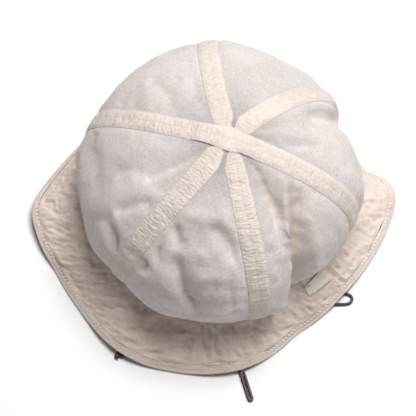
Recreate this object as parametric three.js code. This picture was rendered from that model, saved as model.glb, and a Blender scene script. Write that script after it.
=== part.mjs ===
// A soft washed-cotton sun hat with a six-panel crown, taped seams and a sloping puckered brim.
// It rests on its brim, with a thin leather chin lace lying loose under it.
// Millimetres, +Z up, front towards -Y. The origin is on the surface, under the middle of the hat.
import * as THREE from "three";

// Driving dimensions
const HEAD_GIRTH = 584; // round the seam of crown and brim
const CROWN_RISE = 98; // from that seam to the crossing of the tapes
const SEAM_HEIGHT = 32; // how high the seam stands over the surface, on average
const BRIM_DEPTH = 46; // from the seam to the edge, along the cloth
const LEAN_RIGHT = 10; // how far the crossing of the tapes has slumped to the right
const LEAN_BACK = -4;
const PANEL_PUFF = 3.2; // how far a panel swells out between its seams
const CROWN_CLOTH = 1.2;
const TAPE_WIDTH = 15;
const TAPE_CLOTH = 1;
const TAPE_CLEAR = 0.5; // under a tape, where the panel is puckered
const TAPE_TIP = 1.6; // the width of a short tape's pointed end at the crossing
const TAPE_END = 2; // from a tape's lower end to the seam with the brim
const PANEL_TIP = 3.4; // from a panel's tip to the crossing
const BRIM_CLOTH = 1.8; // two plies
const SEAM_ALLOWANCE = 2.6; // the flat strip of brim that lies under the crown's edge
const HEM_WIDTH = 6;
const HEM_CLOTH = 2.8; // four plies
const HEM_SOLE = 2.6; // the flat underside of the hem
const LABEL_WIDTH = 20;
const LABEL_DROP = 15;
const LABEL_CLOTH = 0.8;
const LABEL_CLEAR = 1.6; // from the seam to the label's upper edge
const LACE = 2.2; // the leather lace's diameter
const KNOT_LENGTH = 9.6;
const KNOT_WIDTH = 6.2;
const KNOT_HEIGHT = 4.1;
const PULL_LENGTH = 24;
const PULL_WIDTH = 5;
const PULL_HEIGHT = 2.4;
const PULL_STEM = 9.1; // from the loop of lace to the pull's shoulder
const LIFTED = 0.1; // the lace's pieces stand clear of the surface
const GAP = 0.3; // between touching pieces

const HEAD_RADIUS = HEAD_GIRTH / (2 * Math.PI);

// How finely the cloth is divided
const PANEL_COLUMNS = 9;
const CROWN_ROWS = 15;
const BRIM_COLUMNS = 96;
const BRIM_ROWS = 6;
const LACE_SIDES = 8;
const LABEL_COLUMNS = 4;
const LABEL_ROWS = 3;

// The crown's profile from the crossing of the tapes (along 0) to the seam (along 1).
// reach is a share of the seam's radius, height a share of the crown's rise.
const CROWN_PROFILE = [
  { along: 0.0, reach: 0.0, height: 1.0 },
  { along: 0.1, reach: 0.2, height: 0.985 },
  { along: 0.2, reach: 0.4, height: 0.94 },
  { along: 0.32, reach: 0.63, height: 0.855 },
  { along: 0.45, reach: 0.85, height: 0.71 },
  { along: 0.58, reach: 0.985, height: 0.54 },
  { along: 0.7, reach: 1.04, height: 0.37 },
  { along: 0.82, reach: 1.055, height: 0.21 },
  { along: 0.92, reach: 1.045, height: 0.08 },
  { along: 1.0, reach: 1.0, height: 0.0 },
];

// The crown seen from above, by azimuth in degrees from +X.
// seam and belly are shares of the head radius at the seam and at the crown's widest,
// height is the seam's height as a share of the mean seam height.
const CROWN_PLAN = [
  { azimuth: -180, seam: 0.98, belly: 0.99, height: 1 },
  { azimuth: -165, seam: 0.97, belly: 0.965, height: 0.97 },
  { azimuth: -150, seam: 0.98, belly: 0.995, height: 0.95 },
  { azimuth: -130, seam: 0.985, belly: 0.995, height: 0.95 },
  { azimuth: -112, seam: 1, belly: 1.045, height: 0.95 },
  { azimuth: -97, seam: 1, belly: 1.03, height: 0.95 },
  { azimuth: -80, seam: 1.01, belly: 1.07, height: 0.95 },
  { azimuth: -67, seam: 1.01, belly: 1.075, height: 1 },
  { azimuth: -56, seam: 0.95, belly: 0.93, height: 1.08 },
  { azimuth: -40, seam: 0.965, belly: 0.985, height: 1.08 },
  { azimuth: -26, seam: 0.99, belly: 1.03, height: 1.05 },
  { azimuth: -10, seam: 1.01, belly: 1.06, height: 1 },
  { azimuth: 2, seam: 1.01, belly: 1.02, height: 1 },
  { azimuth: 12, seam: 0.99, belly: 0.985, height: 1.02 },
  { azimuth: 21, seam: 0.99, belly: 0.96, height: 1.04 },
  { azimuth: 32, seam: 0.99, belly: 1.045, height: 1.05 },
  { azimuth: 45, seam: 0.98, belly: 1.02, height: 1.08 },
  { azimuth: 60, seam: 0.98, belly: 0.99, height: 1.1 },
  { azimuth: 77, seam: 0.985, belly: 1.03, height: 1.1 },
  { azimuth: 90, seam: 0.99, belly: 1.08, height: 1.12 },
  { azimuth: 120, seam: 0.98, belly: 1.015, height: 1.1 },
  { azimuth: 150, seam: 0.98, belly: 1.015, height: 1.05 },
  { azimuth: 165, seam: 0.98, belly: 1.03, height: 1.02 },
];

// The panel seams: azimuth round the crossing of the tapes, and at the foot of the crown.
const SEAMS = [
  { name: "front_left", top: -125, foot: -137 },
  { name: "front", top: -76, foot: -73 },
  { name: "front_right", top: -21, foot: -18 },
  { name: "right", top: 43, foot: 27 },
  { name: "back", top: 103, foot: 88 },
  { name: "left", top: 164, foot: 154 },
];
// The long tape crosses the top from the left seam to this one.
const LONG_TAPE_ENDS = { from: "left", to: "front_right" };

// Dents (depth under 0) and ridges of the slumped crown: a soft furrow from one place to another.
// Azimuths in degrees, along as in the profile, width and depth as shares of the crown's rise.
const CROWN_FOLDS = [
  { azimuth: -25, along: 0.22, toAzimuth: -44, toAlong: 0.33, width: 0.05, depth: 0.03 },
  { azimuth: -44, along: 0.33, toAzimuth: -60, toAlong: 0.5, width: 0.055, depth: 0.038 },
  { azimuth: -60, along: 0.5, toAzimuth: -66, toAlong: 0.9, width: 0.06, depth: 0.04 },
  { azimuth: -37, along: 0.33, toAzimuth: -46, toAlong: 0.45, width: 0.06, depth: -0.05 },
  { azimuth: -46, along: 0.45, toAzimuth: -56, toAlong: 0.86, width: 0.075, depth: -0.06 },
  { azimuth: -42, along: 0.44, toAzimuth: -44, toAlong: 0.74, width: 0.045, depth: 0.022 },
  { azimuth: -35, along: 0.33, toAzimuth: -28, toAlong: 0.31, width: 0.04, depth: 0.02 },
  { azimuth: -40, along: 0.12, toAzimuth: -50, toAlong: 0.24, width: 0.035, depth: -0.03 },
  { azimuth: -50, along: 0.24, toAzimuth: -54, toAlong: 0.38, width: 0.05, depth: -0.045 },
  { azimuth: 23, along: 0.14, toAzimuth: 13, toAlong: 0.34, width: 0.05, depth: -0.03 },
  { azimuth: 22, along: 0.4, toAzimuth: 23, toAlong: 0.6, width: 0.06, depth: -0.05 },
  { azimuth: -4, along: 0.22, toAzimuth: 0, toAlong: 0.34, width: 0.04, depth: -0.02 },
  { azimuth: -147, along: 0.12, toAzimuth: -154, toAlong: 0.3, width: 0.045, depth: -0.022 },
  { azimuth: -149, along: 0.46, toAzimuth: -142, toAlong: 0.36, width: 0.04, depth: -0.02 },
  { azimuth: -146, along: 0.56, toAzimuth: -139, toAlong: 0.62, width: 0.05, depth: -0.03 },
  { azimuth: -132, along: 0.57, toAzimuth: -124, toAlong: 0.57, width: 0.05, depth: -0.03 },
  { azimuth: -122, along: 0.35, toAzimuth: -113, toAlong: 0.39, width: 0.05, depth: -0.025 },
  { azimuth: -94, along: 0.33, toAzimuth: -84, toAlong: 0.4, width: 0.06, depth: -0.03 },
  { azimuth: -118, along: 0.31, toAzimuth: -92, toAlong: 0.29, width: 0.07, depth: 0.025 },
  { azimuth: -110, along: 0.48, toAzimuth: -100, toAlong: 0.66, width: 0.08, depth: -0.04 },
  { azimuth: -98, along: 0.5, toAzimuth: -90, toAlong: 0.5, width: 0.06, depth: 0.02 },
  { azimuth: -118, along: 0.72, toAzimuth: -96, toAlong: 0.79, width: 0.05, depth: 0.02 },
  { azimuth: -96, along: 0.79, toAzimuth: -78, toAlong: 0.64, width: 0.05, depth: 0.02 },
  { azimuth: -67, along: 0.42, toAzimuth: -67, toAlong: 0.72, width: 0.035, depth: -0.02 },
  { azimuth: 172, along: 0.58, toAzimuth: -168, toAlong: 0.52, width: 0.14, depth: -0.035 },
  { azimuth: 132, along: 0.38, toAzimuth: 138, toAlong: 0.26, width: 0.035, depth: -0.02 },
  { azimuth: 113, along: 0.28, toAzimuth: 121, toAlong: 0.13, width: 0.035, depth: -0.022 },
];

// The brim's edge by azimuth. overhang is how far it stands out past the seam, as a share of
// the brim's depth, and lift how high it stands over the surface, as a share of the seam height.
const BRIM_EDGE = [
  { azimuth: -180, overhang: 0.95, lift: 0.28 },
  { azimuth: -168, overhang: 0.90, lift: 0.16 },
  { azimuth: -156, overhang: 0.77, lift: 0.00 },
  { azimuth: -141, overhang: 0.75, lift: 0.00 },
  { azimuth: -122, overhang: 0.85, lift: 0.16 },
  { azimuth: -105, overhang: 0.79, lift: 0.00 },
  { azimuth: -82, overhang: 0.72, lift: 0.13 },
  { azimuth: -66, overhang: 0.54, lift: 0.00 },
  { azimuth: -52, overhang: 0.57, lift: 0.00 },
  { azimuth: -36, overhang: 0.56, lift: 0.13 },
  { azimuth: -20, overhang: 0.63, lift: 0.06 },
  { azimuth: -7, overhang: 0.77, lift: 0.14 },
  { azimuth: 4, overhang: 0.91, lift: 0.25 },
  { azimuth: 10, overhang: 0.84, lift: 0.20 },
  { azimuth: 16, overhang: 0.58, lift: 0.12 },
  { azimuth: 30, overhang: 0.50, lift: 0.00 },
  { azimuth: 60, overhang: 0.54, lift: 0.00 },
  { azimuth: 90, overhang: 0.56, lift: 0.06 },
  { azimuth: 120, overhang: 0.54, lift: 0.00 },
  { azimuth: 148, overhang: 0.52, lift: 0.00 },
  { azimuth: 160, overhang: 0.62, lift: 0.08 },
  { azimuth: 170, overhang: 0.77, lift: 0.20 },
];

const LABEL_AZIMUTH = -41.5;

const DEGREE = Math.PI / 180;
const clamp = (value, low, high) => Math.min(high, Math.max(low, value));
const mix = (a, b, share) => a + (b - a) * share;

// A smooth curve through one column of a table, closed on itself where it has a period.
function curveThrough(rows, key, column, period = 0) {
  const count = rows.length;
  const row = (i) => {
    const turn = period ? Math.floor(i / count) : 0;
    const j = period ? i - turn * count : clamp(i, 0, count - 1);
    return [rows[j][key] + turn * period, rows[j][column]];
  };
  return (value) => {
    const first = rows[0][key];
    const x = period
      ? first + ((((value - first) % period) + period) % period)
      : clamp(value, first, rows[count - 1][key]);
    let i = count - 1;
    while (i > 0 && rows[i][key] > x) i -= 1;
    if (!period) i = Math.min(i, count - 2);
    const [[xa, ya], [xb, yb], [xc, yc], [xd, yd]] = [-1, 0, 1, 2].map((k) => row(i + k));
    const span = xc - xb;
    const rise = (yc - yb) / span;
    const slopeB = xb > xa ? (yc - ya) / (xc - xa) : rise;
    const slopeC = xd > xc ? (yd - yb) / (xd - xb) : rise;
    const t = (x - xb) / span;
    return (
      yb * (1 + 2 * t) * (1 - t) ** 2 +
      yc * t * t * (3 - 2 * t) +
      span * (slopeB * t * (1 - t) ** 2 - slopeC * t * t * (1 - t))
    );
  };
}

const profileReach = curveThrough(CROWN_PROFILE, "along", "reach");
const profileHeight = curveThrough(CROWN_PROFILE, "along", "height");
const seamReach = curveThrough(CROWN_PLAN, "azimuth", "seam", 360);
const bellyReach = curveThrough(CROWN_PLAN, "azimuth", "belly", 360);
const seamLift = curveThrough(CROWN_PLAN, "azimuth", "height", 360);
const brimOverhang = curveThrough(BRIM_EDGE, "azimuth", "overhang", 360);
const brimLift = curveThrough(BRIM_EDGE, "azimuth", "lift", 360);

// The azimuth of a panel seam at a place along the crown.
const seamAzimuth = (seam, along) => mix(seam.top, seam.foot, along);

// Where a panel lies: its two seams, the second one turned past the first.
function panelSides(number, along) {
  const from = seamAzimuth(SEAMS[number], along);
  const next = seamAzimuth(SEAMS[(number + 1) % SEAMS.length], along);
  return [from, next > from ? next : next + 360];
}

// How far across its panel a place lies, from 0 at one seam to 1 at the next, and the share of
// the panel's width that lies under half a tape.
function acrossPanel(azimuth, along) {
  const halfTape = turnFor(azimuth, along, TAPE_WIDTH / 2);
  for (let number = 0; number < SEAMS.length; number += 1) {
    const [from, to] = panelSides(number, along);
    const turned = from + ((((azimuth - from) % 360) + 360) % 360);
    if (turned <= to) {
      return { share: (turned - from) / (to - from), taped: Math.min(halfTape / (to - from), 0.48) };
    }
  }
  return { share: 0, taped: 0.48 };
}

// The crown without its puff and folds.
function plainCrown(azimuth, along) {
  const belly = clamp((1 - along) / 0.2, 0, 1);
  const plan = mix(seamReach(azimuth), bellyReach(azimuth), belly * belly * (3 - 2 * belly));
  const radius = HEAD_RADIUS * plan * profileReach(along);
  const slump = (1 - along) ** 1.3;
  const height = profileHeight(along);
  return new THREE.Vector3(
    LEAN_RIGHT * slump + radius * Math.cos(azimuth * DEGREE),
    LEAN_BACK * slump + radius * Math.sin(azimuth * DEGREE),
    SEAM_HEIGHT * (1 + (seamLift(azimuth) - 1) * (1 - height) ** 1.5) + CROWN_RISE * height,
  );
}

// The outward direction of a surface, given as a function of azimuth and a place along it.
function outward(surface, azimuth, along) {
  const here = Math.max(along, 0.004);
  const low = Math.max(along - 0.01, 0.002);
  const high = Math.min(here + 0.01, 1);
  const round = surface(azimuth + 1, here).sub(surface(azimuth - 1, here));
  const down = surface(azimuth, high).sub(surface(azimuth, low));
  return down.cross(round).normalize();
}

const folds = CROWN_FOLDS.map((fold) => ({
  line: new THREE.Line3(
    plainCrown(fold.azimuth, fold.along),
    plainCrown(fold.toAzimuth, fold.toAlong),
  ),
  width: fold.width * CROWN_RISE,
  depth: fold.depth * CROWN_RISE,
}));

// The outer face of the crown's cloth. The tapes keep it smooth where they are sewn on, and a
// panel puffs out less where little of it is free between them.
function crown(azimuth, along) {
  const place = plainCrown(azimuth, along);
  const { share, taped } = acrossPanel(azimuth, along);
  const free = 1 - 2 * taped;
  const swell = Math.sin(Math.PI * clamp((share - taped) / free, 0, 1)) ** 0.8;
  const room = clamp(free / 0.8, 0, 1) ** 2;
  const beside = clamp((Math.min(share, 1 - share) - taped) / taped, 0, 1);
  const loose = beside * beside * (3 - 2 * beside);
  let push = PANEL_PUFF * swell * room;
  const nearest = new THREE.Vector3();
  for (const fold of folds) {
    const away = fold.line.closestPointToPoint(place, true, nearest).distanceTo(place);
    push += loose * fold.depth * Math.exp(-((away / fold.width) ** 2));
  }
  const held = clamp((1 - along) / 0.12, 0, 1); // the seam with the brim holds the foot in place
  return place.addScaledVector(outward(plainCrown, azimuth, along), push * held);
}

// The brim's upper face: share 0 at the seam, 1 at the edge, under 0 for the seam allowance.
function brim(azimuth, share) {
  const seam = plainCrown(azimuth, 1);
  const reach = Math.hypot(seam.x, seam.y);
  const top = seam.z - GAP;
  const edge = SEAM_HEIGHT * Math.max(brimLift(azimuth), 0) + HEM_CLOTH;
  const out = Math.max(share, 0);
  const radius =
    reach + GAP + BRIM_DEPTH * brimOverhang(azimuth) * out + SEAM_ALLOWANCE * Math.min(share, 0);
  return new THREE.Vector3(
    radius * Math.cos(azimuth * DEGREE),
    radius * Math.sin(azimuth * DEGREE),
    mix(top, edge, out + 0.1 * Math.sin(Math.PI * out)),
  );
}

// A closed mesh from rings of points, each a closed section, with capped ends or joined round.
function sectionsMesh(name, sections, material, joined) {
  const count = sections[0].length;
  const positions = sections.flatMap((ring) => ring.flatMap((p) => [p.x, p.y, p.z]));
  const index = [];
  const last = joined ? sections.length : sections.length - 1;
  for (let i = 0; i < last; i += 1) {
    const a = i * count;
    const b = ((i + 1) % sections.length) * count;
    for (let j = 0; j < count; j += 1) {
      const k = (j + 1) % count;
      index.push(a + j, a + k, b + j, b + j, a + k, b + k);
    }
  }
  if (!joined) {
    // A section is an outer row and, turned back, an inner one of as many points.
    const half = count / 2;
    const end = (sections.length - 1) * count;
    for (let j = 0; j < half - 1; j += 1) {
      const k = count - 1 - j;
      index.push(j, k, j + 1, j + 1, k, k - 1);
      index.push(end + j, end + j + 1, end + k, end + j + 1, end + k - 1, end + k);
    }
  }
  const geometry = new THREE.BufferGeometry();
  geometry.setAttribute("position", new THREE.Float32BufferAttribute(positions, 3));
  geometry.setIndex(index);
  geometry.computeVertexNormals();
  const mesh = new THREE.Mesh(geometry, material);
  mesh.name = name;
  return mesh;
}

// A section of cloth from its outer points and the direction out at each.
function clothSection(points, normals, lift, thickness) {
  const outer = points.map((p, i) => p.clone().addScaledVector(normals[i], lift + thickness));
  const inner = points.map((p, i) => p.clone().addScaledVector(normals[i], lift));
  return [...outer, ...inner.reverse()];
}

// From the crossing of the tapes to the seam, along the cloth.
const meridian = Array.from({ length: 2 * CROWN_ROWS + 1 }, (_, i) => plainCrown(0, i / CROWN_ROWS / 2))
  .reduce((sum, place, i, places) => (i ? sum + place.distanceTo(places[i - 1]) : 0), 0);

// The rows of the crown, closer together at the top where the tapes meet.
const panelTop = PANEL_TIP / meridian;
const tapeFoot = 1 - TAPE_END / meridian;
const crownRows = Array.from({ length: CROWN_ROWS + 1 }, (_, i) =>
  mix(panelTop, 1, (i / CROWN_ROWS) ** 1.05),
);

// The turn, in degrees, that is some millimetres round the crown at a place along it.
function turnFor(azimuth, along, width) {
  const centre = plainCrown(azimuth, along).add(plainCrown(azimuth + 180, along)).divideScalar(2);
  return Math.atan2(width, plainCrown(azimuth, along).distanceTo(centre)) / DEGREE;
}

// One gore of the crown, with columns along the edges of the tapes.
function crownPanel(number, material) {
  const sections = crownRows.map((along) => {
    const [from, to] = panelSides(number, along);
    const gapTurn = Math.min(turnFor(from, along, GAP / 2), (to - from) * 0.1);
    const tapeTurn = Math.min(turnFor(from, along, TAPE_WIDTH / 2), (to - from) * 0.3);
    const azimuths = [from + gapTurn];
    const inner = PANEL_COLUMNS - 2;
    for (let i = 0; i <= inner; i += 1) {
      azimuths.push(mix(from + tapeTurn, to - tapeTurn, i / inner));
    }
    azimuths.push(to - gapTurn);
    azimuths.reverse();
    const points = azimuths.map((azimuth) => crown(azimuth, along));
    const normals = azimuths.map((azimuth) => outward(crown, azimuth, along));
    return clothSection(points, normals, -CROWN_CLOTH, CROWN_CLOTH);
  });
  return sectionsMesh(`crown_panel_${number + 1}`, sections, material, false);
}

// A place on the crown some millimetres to one side of a seam. Close to the top it turns round
// the crossing of the tapes.
function besideSeam(seam, along, side) {
  const azimuth = seamAzimuth(seam, along);
  const turn = Math.sign(side) * turnFor(azimuth, along, Math.abs(side));
  return [azimuth + turn, Math.min(Math.hypot(along, side / meridian), 1)];
}

function tapeSection(seam, along, left, right) {
  const places = [right, 0, -left].map((side) => besideSeam(seam, along, side));
  const points = places.map(([azimuth, at]) => crown(azimuth, at));
  const normals = places.map(([azimuth, at]) => outward(crown, azimuth, at));
  return clothSection(points, normals, TAPE_CLEAR, TAPE_CLOTH);
}

// How wide half a short tape may be at a distance from the crossing, so that it ends in a point
// between its neighbours. turn is the angle to the neighbour, which is the long tape or a short one.
function halfWidthBeside(distance, turn, besideLong) {
  const half = TAPE_WIDTH / 2;
  const room = besideLong
    ? (distance * Math.sin(turn) - half - GAP) / Math.max(Math.cos(turn), 0.1)
    : distance * Math.tan(Math.min(turn / 2, 1.2)) - GAP;
  return Math.min(half, room);
}

// The distance from the crossing at which a short tape's pointed end starts.
function startBeside(turn, besideLong) {
  return besideLong
    ? ((TAPE_TIP * Math.cos(turn)) / 2 + TAPE_WIDTH / 2 + GAP) / Math.sin(turn)
    : (TAPE_TIP / 2 + GAP) / Math.tan(turn / 2);
}

const isLong = (seam) => Object.values(LONG_TAPE_ENDS).includes(seam.name);

function shortTape(number, material) {
  const seam = SEAMS[number];
  const beside = [1, -1].map((step) => {
    const other = SEAMS[(number + step + SEAMS.length) % SEAMS.length];
    const turn = ((((other.top - seam.top) * step) % 360) + 360) % 360;
    return { turn: turn * DEGREE, long: isLong(other) };
  });
  const start = Math.max(...beside.map((side) => startBeside(side.turn, side.long)));
  const rows = [start / meridian, ...crownRows.filter((row) => row * meridian > start + TAPE_TIP)];
  rows[rows.length - 1] = tapeFoot;
  const sections = rows.map((along) => {
    const [right, left] = beside.map((side) =>
      halfWidthBeside(along * meridian, side.turn, side.long),
    );
    return tapeSection(seam, along, left, right);
  });
  return sectionsMesh(`seam_tape_${seam.name}`, sections, material, false);
}

// The long tape climbs one seam, crosses the top and goes down another.
function longTape(material) {
  const [from, to] = [LONG_TAPE_ENDS.from, LONG_TAPE_ENDS.to].map((name) =>
    SEAMS.find((seam) => seam.name === name),
  );
  const half = TAPE_WIDTH / 2;
  const rows = crownRows.filter((row) => row > 2 * panelTop);
  rows[rows.length - 1] = tapeFoot;
  const up = [...rows].reverse().map((along) => {
    const section = tapeSection(from, along, half, half);
    const [a, b, c, d, e, f] = section;
    return [c, b, a, f, e, d];
  });
  const down = [0, ...rows].map((along) => tapeSection(to, along, half, half));
  return sectionsMesh("seam_tape_long", [...up, ...down], material, false);
}

// The outward direction of the brim's upper face.
function brimNormal(azimuth, share) {
  const round = brim(azimuth + 1, share).sub(brim(azimuth - 1, share));
  const down = brim(azimuth, Math.min(share + 0.03, 1)).sub(brim(azimuth, share - 0.03));
  return down.cross(round).normalize();
}

// The share of the brim at which the hem starts.
const slantOf = (azimuth) => brim(azimuth, 0).distanceTo(brim(azimuth, 1));
const hemShare = (azimuth) => 1 - HEM_WIDTH / slantOf(azimuth);
const brimAzimuths = Array.from({ length: BRIM_COLUMNS }, (_, i) => (360 * i) / BRIM_COLUMNS);

function brimRing(material) {
  const sections = brimAzimuths.map((azimuth) => {
    const end = hemShare(azimuth) - GAP / slantOf(azimuth);
    const shares = [-1, ...Array.from({ length: BRIM_ROWS }, (_, i) => (end * i) / (BRIM_ROWS - 1))];
    const points = shares.map((share) => brim(azimuth, share));
    const normals = shares.map((share) => brimNormal(azimuth, share));
    return clothSection(points, normals, -BRIM_CLOTH, BRIM_CLOTH);
  });
  return sectionsMesh("brim", sections, material, true);
}

// The hem stands a little proud of the brim on both faces and is flat underneath.
function hemRing(material) {
  const proud = (HEM_CLOTH - BRIM_CLOTH) / 2;
  const sections = brimAzimuths.map((azimuth) => {
    const start = brim(azimuth, hemShare(azimuth));
    const normal = brimNormal(azimuth, hemShare(azimuth));
    const edge = brim(azimuth, 1);
    const under = edge.clone().setZ(edge.z - HEM_CLOTH);
    const inwards = new THREE.Vector3(-under.x, -under.y, 0).normalize();
    return [
      start.clone().addScaledVector(normal, proud),
      edge,
      under,
      under.clone().addScaledVector(inwards, HEM_SOLE),
      start.clone().addScaledVector(normal, -BRIM_CLOTH - proud),
    ];
  });
  return sectionsMesh("brim_hem", sections, material, true);
}

// The label hangs from the seam over the brim.
function label(material) {
  const reach = brim(LABEL_AZIMUTH, 0.2);
  const halfTurn = Math.atan2(LABEL_WIDTH / 2, Math.hypot(reach.x, reach.y)) / DEGREE;
  const sections = Array.from({ length: LABEL_COLUMNS + 1 }, (_, i) => {
    const azimuth = LABEL_AZIMUTH + mix(-halfTurn, halfTurn, i / LABEL_COLUMNS);
    const shares = Array.from({ length: LABEL_ROWS + 1 }, (_, j) =>
      (LABEL_CLEAR + (LABEL_DROP * j) / LABEL_ROWS) / slantOf(azimuth),
    );
    const points = shares.map((share) => brim(azimuth, share));
    const normals = shares.map((share) => brimNormal(azimuth, share));
    return clothSection(points, normals, GAP, LABEL_CLOTH);
  });
  return sectionsMesh("label", sections, material, false);
}

// The chin lace's route, chosen by hand: from inside the left of the crown to the knot at the
// front left, and from the knot by the pull and the loop at the right to the right of the crown.
const LACE_LEFT_ROUTE = [
  [-92.1, 0, 37.4],
  [-88.8, 0, 37],
  [-86.6, -0.4, 34],
  [-86.2, -1.2, 27],
  [-85.4, -3, 16],
  [-83, -8, 6.5],
  [-79.5, -16, 2],
  [-76, -27, 1.2],
  [-71, -48, 1.2],
  [-63.5, -70, 1.2],
  [-56.5, -88, 1.2],
  [-54.4, -98.6, 1.2],
  [-57.4, -105.8, 1.4],
  [-62.9, -109.3, 1.9],
];
const LACE_RIGHT_ROUTE = [
  [-61.5, -112.1, 1.9],
  [-55.4, -109, 1.4],
  [-48, -101.6, 1.2],
  [-42.5, -90, 1.2],
  [-37, -72, 1.2],
  [-28, -52, 1.2],
  [-12, -42, 1.2],
  [2.6, -50, 1.2],
  [8.8, -66, 1.2],
  [9.8, -88, 1.2],
  [10.2, -106.8, 1.2],
  [11.6, -113.2, 1.2],
  [15.2, -115.4, 1.2],
  [18.8, -113.2, 1.2],
  [20.4, -106.8, 1.2],
  [23.4, -91, 1.2],
  [36, -78.6, 1.2],
  [56, -75.2, 1.2],
  [78, -74.4, 1.2],
  [92, -74.2, 1.2],
  [96.6, -74, 1.2],
  [99.6, -72.7, 1.2],
  [100.7, -70.1, 1.2],
  [99.6, -67.4, 1.2],
  [96.4, -66.1, 1.2],
  [89, -64.6, 1.2],
  [80.6, -59, 1.2],
  [76.4, -48, 1.2],
  [75.6, -32, 1.2],
  [79, -17, 2],
  [84, -8, 6.5],
  [87.4, -3, 16],
  [88.6, -1.2, 27],
  [89.2, -0.4, 34],
  [91.4, 0, 37],
  [94, 0, 37.4],
];

function laceTube(name, route, steps, material) {
  const curve = new THREE.CatmullRomCurve3(
    route.map((p) => new THREE.Vector3(...p)),
    false,
    "centripetal",
  );
  const section = new THREE.Shape(
    Array.from({ length: LACE_SIDES }, (_, i) => {
      const turn = (2 * Math.PI * (i + 0.5)) / LACE_SIDES;
      return new THREE.Vector2(Math.cos(turn), Math.sin(turn)).multiplyScalar(LACE / 2);
    }),
  );
  const geometry = new THREE.ExtrudeGeometry(section, { steps, extrudePath: curve });
  const mesh = new THREE.Mesh(geometry, material);
  mesh.name = name;
  return mesh;
}

// The knot lies on the surface and points out to the front left.
const KNOT_PLACE = [-68.2, -113];
const KNOT_AZIMUTH = -151;
function laceKnot(material) {
  const geometry = new THREE.SphereGeometry(0.5, 12, 8);
  const mesh = new THREE.Mesh(geometry, material);
  mesh.scale.set(KNOT_LENGTH, KNOT_WIDTH, KNOT_HEIGHT);
  mesh.rotation.z = KNOT_AZIMUTH * DEGREE;
  mesh.position.set(...KNOT_PLACE, LIFTED + KNOT_HEIGHT / 2);
  mesh.name = "lace_knot";
  return mesh;
}

// The pull is the lace doubled back on itself: a stem, a shoulder and an oblique tip.
const PULL_PLACE = [19.4, -125.1];
const PULL_AZIMUTH = -73;
function lacePull(material) {
  const half = PULL_WIDTH / 2;
  const outline = new THREE.Shape();
  outline.moveTo(-PULL_STEM, -half);
  outline.lineTo(PULL_LENGTH * 0.72, -half);
  outline.lineTo(PULL_LENGTH * 0.86, -half * 0.4);
  outline.quadraticCurveTo(PULL_LENGTH, 0, PULL_LENGTH, half * 0.6);
  outline.quadraticCurveTo(PULL_LENGTH, half, PULL_LENGTH * 0.92, half);
  outline.lineTo(half * 0.7, half);
  outline.quadraticCurveTo(0, half, 0, 0);
  outline.lineTo(-PULL_STEM, 0);
  const geometry = new THREE.ExtrudeGeometry(outline, {
    depth: PULL_HEIGHT,
    bevelEnabled: false,
    curveSegments: 4,
  });
  const mesh = new THREE.Mesh(geometry, material);
  mesh.rotation.z = PULL_AZIMUTH * DEGREE;
  mesh.position.set(...PULL_PLACE, LIFTED);
  mesh.name = "lace_pull";
  return mesh;
}

const crownMaterial = new THREE.MeshStandardMaterial({ color: 0xeae6e8, roughness: 0.95 });
const tapeMaterial = new THREE.MeshStandardMaterial({ color: 0xf0e4d4, roughness: 0.95 });
const brimMaterial = new THREE.MeshStandardMaterial({ color: 0xe2d5c8, roughness: 0.95 });
const labelMaterial = new THREE.MeshStandardMaterial({ color: 0xe6dacb, roughness: 0.9 });
const leatherMaterial = new THREE.MeshStandardMaterial({ color: 0x2a1916, roughness: 0.5 });

const cloth = new THREE.Group();
for (let number = 0; number < SEAMS.length; number += 1) {
  cloth.add(crownPanel(number, crownMaterial));
  if (!isLong(SEAMS[number])) cloth.add(shortTape(number, tapeMaterial));
}
cloth.add(longTape(tapeMaterial));
cloth.add(brimRing(brimMaterial));
cloth.add(hemRing(brimMaterial));
cloth.add(label(labelMaterial));

const lace = new THREE.Group();
lace.add(laceTube("chin_lace_left", LACE_LEFT_ROUTE, 32, leatherMaterial));
lace.add(laceTube("chin_lace_right", LACE_RIGHT_ROUTE, 80, leatherMaterial));
lace.add(laceKnot(leatherMaterial));
lace.add(lacePull(leatherMaterial));

// The origin goes under the middle of the cloth, and the lace moves with it.
const middle = new THREE.Box3().setFromObject(cloth).getCenter(new THREE.Vector3());
const hat = new THREE.Group();
hat.add(cloth, lace);
hat.position.set(-middle.x, -middle.y, 0);

export default hat;
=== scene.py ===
# The looks of a soft washed-cotton sun hat that rests on its brim, with its leather chin lace.
# Metres, +Z up, front towards -Y, the origin under the middle of the hat.
import math

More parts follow.
